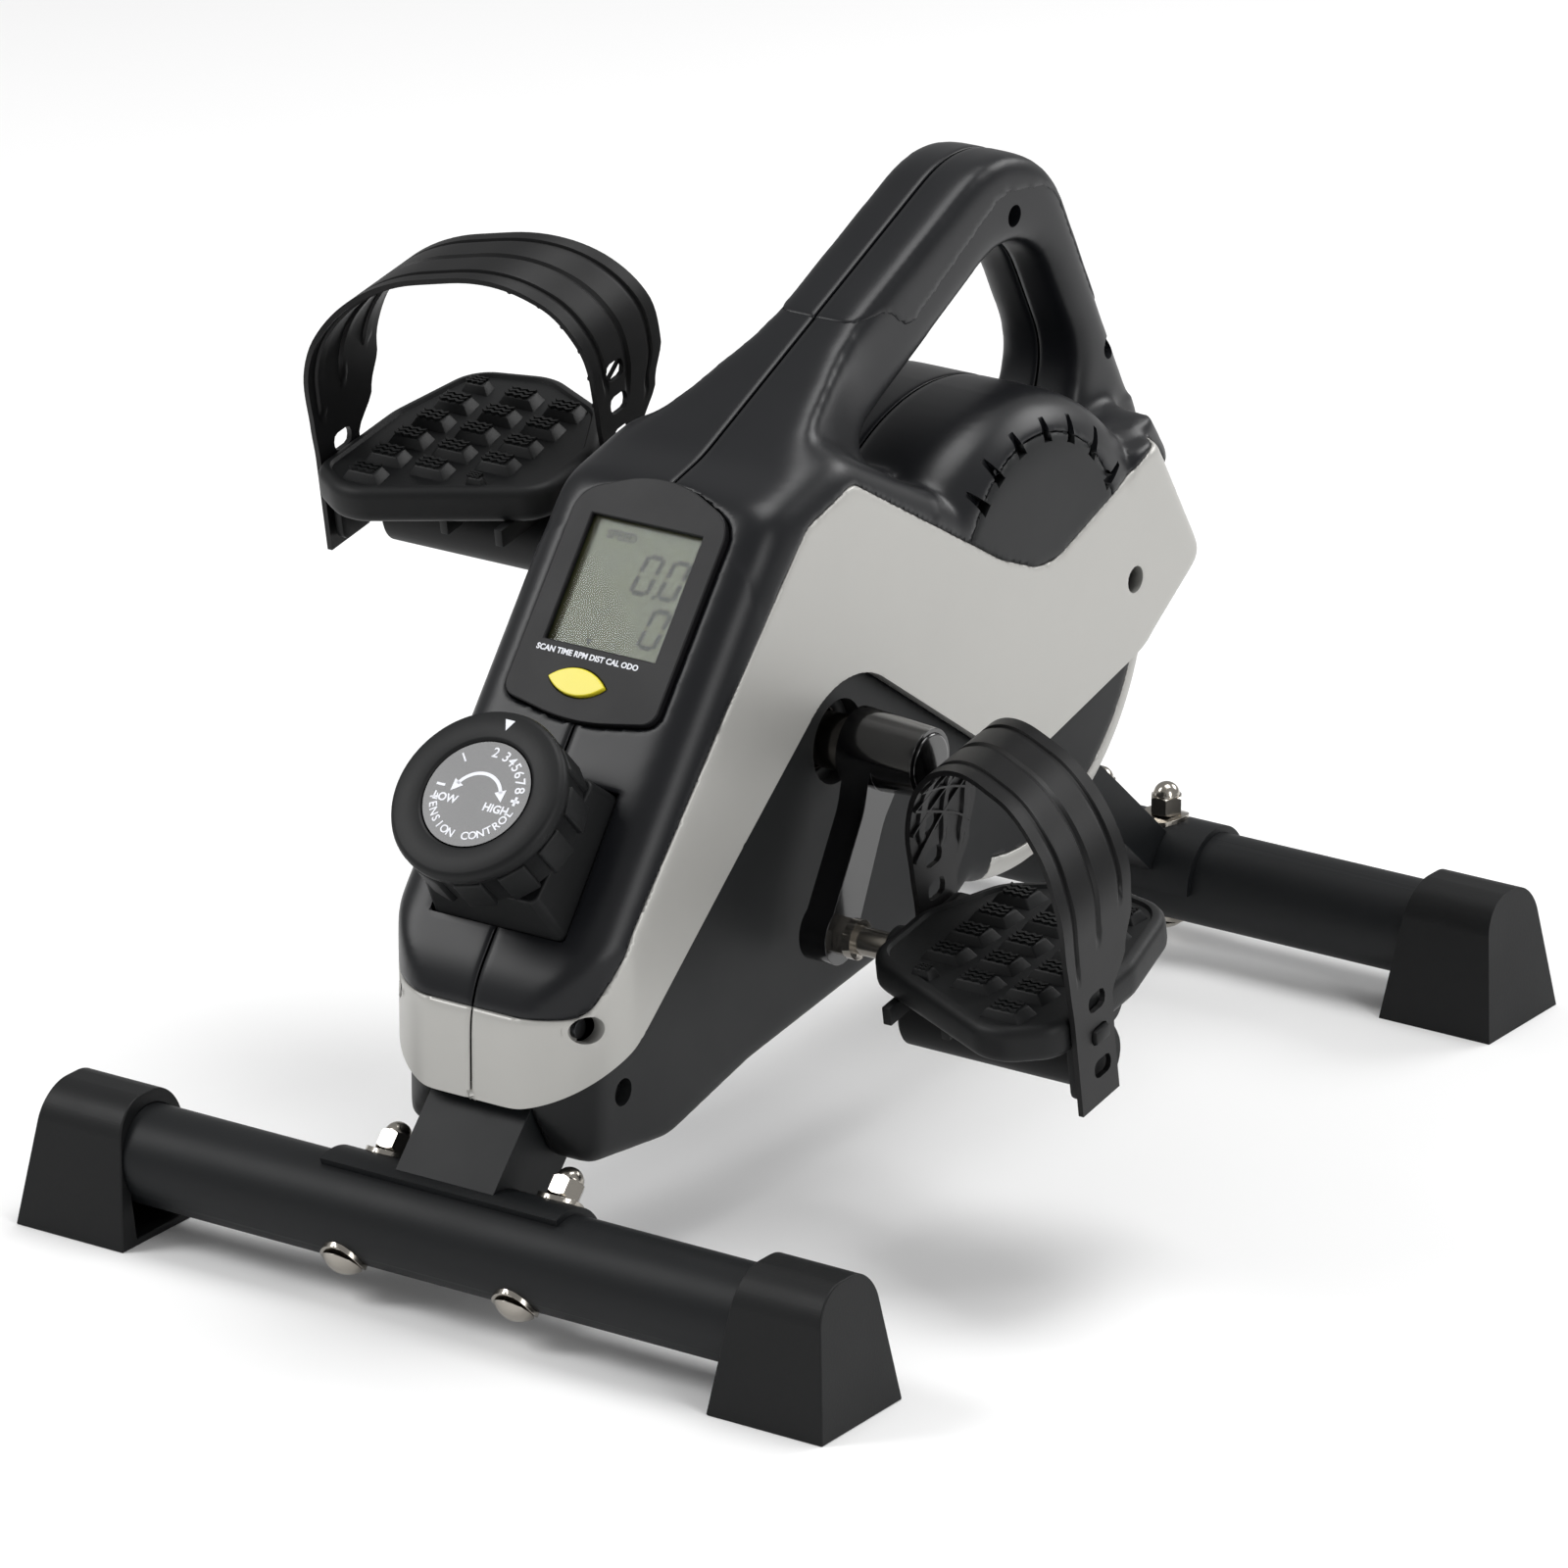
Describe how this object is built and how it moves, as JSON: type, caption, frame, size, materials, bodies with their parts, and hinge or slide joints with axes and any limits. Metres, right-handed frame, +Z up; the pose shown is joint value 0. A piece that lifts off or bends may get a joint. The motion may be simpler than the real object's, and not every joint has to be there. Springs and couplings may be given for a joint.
{
  "type": "pedal_exerciser",
  "caption": "Floor-standing pedal exerciser with belt-driven magnetic flywheel, strapped pedals, tension knob, small display and carrying handle.",
  "frame": {"origin": "On the floor, midway between the two stabiliser tubes and midway between the crank arms.", "axes": "+X to the rider's right as seen from the display end, +Y from the display end to the rear, +Z up."},
  "size_m": [0.427, 0.568, 0.3914],
  "materials": {
    "powder_black": "satin",
    "moulded_black": "matte",
    "shell_black": "satin",
    "panel_silver": "satin",
    "shell_grey": "matte",
    "bright_steel": "polished",
    "crank_black": "gloss",
    "iron": "matte",
    "strap_rubber": "matte",
    "weight_black": "matte",
    "lens": "gloss",
    "display": "satin",
    "board": "satin",
    "button_yellow": "gloss"
  },
  "bodies": {
    "base": {"front_stabiliser_tube": "powder_black", "rear_stabiliser_tube": "powder_black", "neck_tube": "powder_black", "rear_post": "powder_black", "front_saddle": "powder_black", "rear_saddle": "powder_black", "frame_plate_left": "powder_black", "frame_plate_right": "powder_black", "front_right_foot_cap": "moulded_black", "front_left_foot_cap": "moulded_black", "rear_right_foot_cap": "moulded_black", "rear_left_foot_cap": "moulded_black", "knob_base": "moulded_black", "vent_panel_left": "moulded_black", "vent_panel_right": "moulded_black", "upper_shell_left": "shell_black", "upper_shell_right": "shell_black", "console_bezel": "shell_black", "side_panel_left": "panel_silver", "side_panel_right": "panel_silver", "lower_shell_left": "shell_grey", "lower_shell_right": "shell_grey", "stabiliser_washers": "bright_steel", "stabiliser_acorn_nuts": "bright_steel", "stabiliser_bolts": "bright_steel", "crank_bearings": "bright_steel", "flywheel_axle": "bright_steel", "flywheel_nuts": "bright_steel", "bracket_pin": "bright_steel", "casing_screws": "bright_steel", "console_batteries": "bright_steel", "drive_belt": "strap_rubber", "tension_cable": "strap_rubber", "sensor_lead": "strap_rubber", "display_window": "lens", "lcd_panel": "display", "console_circuit_board": "board", "speed_sensor": "board", "dial_disc": "board"},
    "crank": {"crank_axle": "crank_black", "crank_arm_left": "crank_black", "crank_arm_right": "crank_black", "crank_end_caps": "moulded_black", "pedal_spindles": "bright_steel", "drive_pulley": "moulded_black", "pulley_magnet": "bright_steel"},
    "pedal_left": {"pedal_body_left": "moulded_black", "pedal_weight_left": "weight_black", "pedal_strap_left": "strap_rubber"},
    "pedal_right": {"pedal_body_right": "moulded_black", "pedal_weight_right": "weight_black", "pedal_strap_right": "strap_rubber"},
    "flywheel_set": {"flywheel": "iron", "flywheel_pulley": "iron", "flywheel_bearings": "bright_steel"},
    "knob": {"tension_knob": "moulded_black"},
    "brake": {"magnet_bracket": "powder_black", "brake_magnets": "bright_steel"},
    "button": {"mode_button": "button_yellow"}
  },
  "joints": [
    {"name": "crank_spin", "type": "hinge", "parent": "base", "child": "crank", "pos_m": [0, -0.048, 0.19], "axis": [1, 0, 0], "continuous": true},
    {"name": "pedal_right_spin", "type": "hinge", "parent": "crank", "child": "pedal_right", "pos_m": [0.15, -0.08297, 0.12196], "axis": [1, 0, 0], "continuous": true},
    {"name": "pedal_left_spin", "type": "hinge", "parent": "crank", "child": "pedal_left", "pos_m": [-0.15, -0.01303, 0.25804], "axis": [1, 0, 0], "continuous": true},
    {"name": "flywheel_spin", "type": "hinge", "parent": "base", "child": "flywheel_set", "pos_m": [-0.014, 0.09, 0.193], "axis": [1, 0, 0], "continuous": true},
    {"name": "tension_knob_turn", "type": "hinge", "parent": "base", "child": "knob", "pos_m": [0, -0.2357, 0.2154], "axis": [0, 0.6947, -0.7193], "range_deg": [-43, 78]},
    {"name": "magnet_bracket_pivot", "type": "hinge", "parent": "base", "child": "brake", "pos_m": [-0.014, 0.006, 0.128], "axis": [1, 0, 0], "range_deg": [-1.5, 2.5]},
    {"name": "mode_button_press", "type": "slide", "parent": "base", "child": "button", "axis": [0, 0.7859, -0.6184], "range_m": [0, 0.001], "stiffness_N_per_m": 400}
  ],
  "couplings": [
    {"joint": "flywheel_spin", "follows": "crank_spin", "ratio": 4},
    {"joint": "magnet_bracket_pivot", "follows": "tension_knob_turn", "ratio": 0.03}
  ]
}
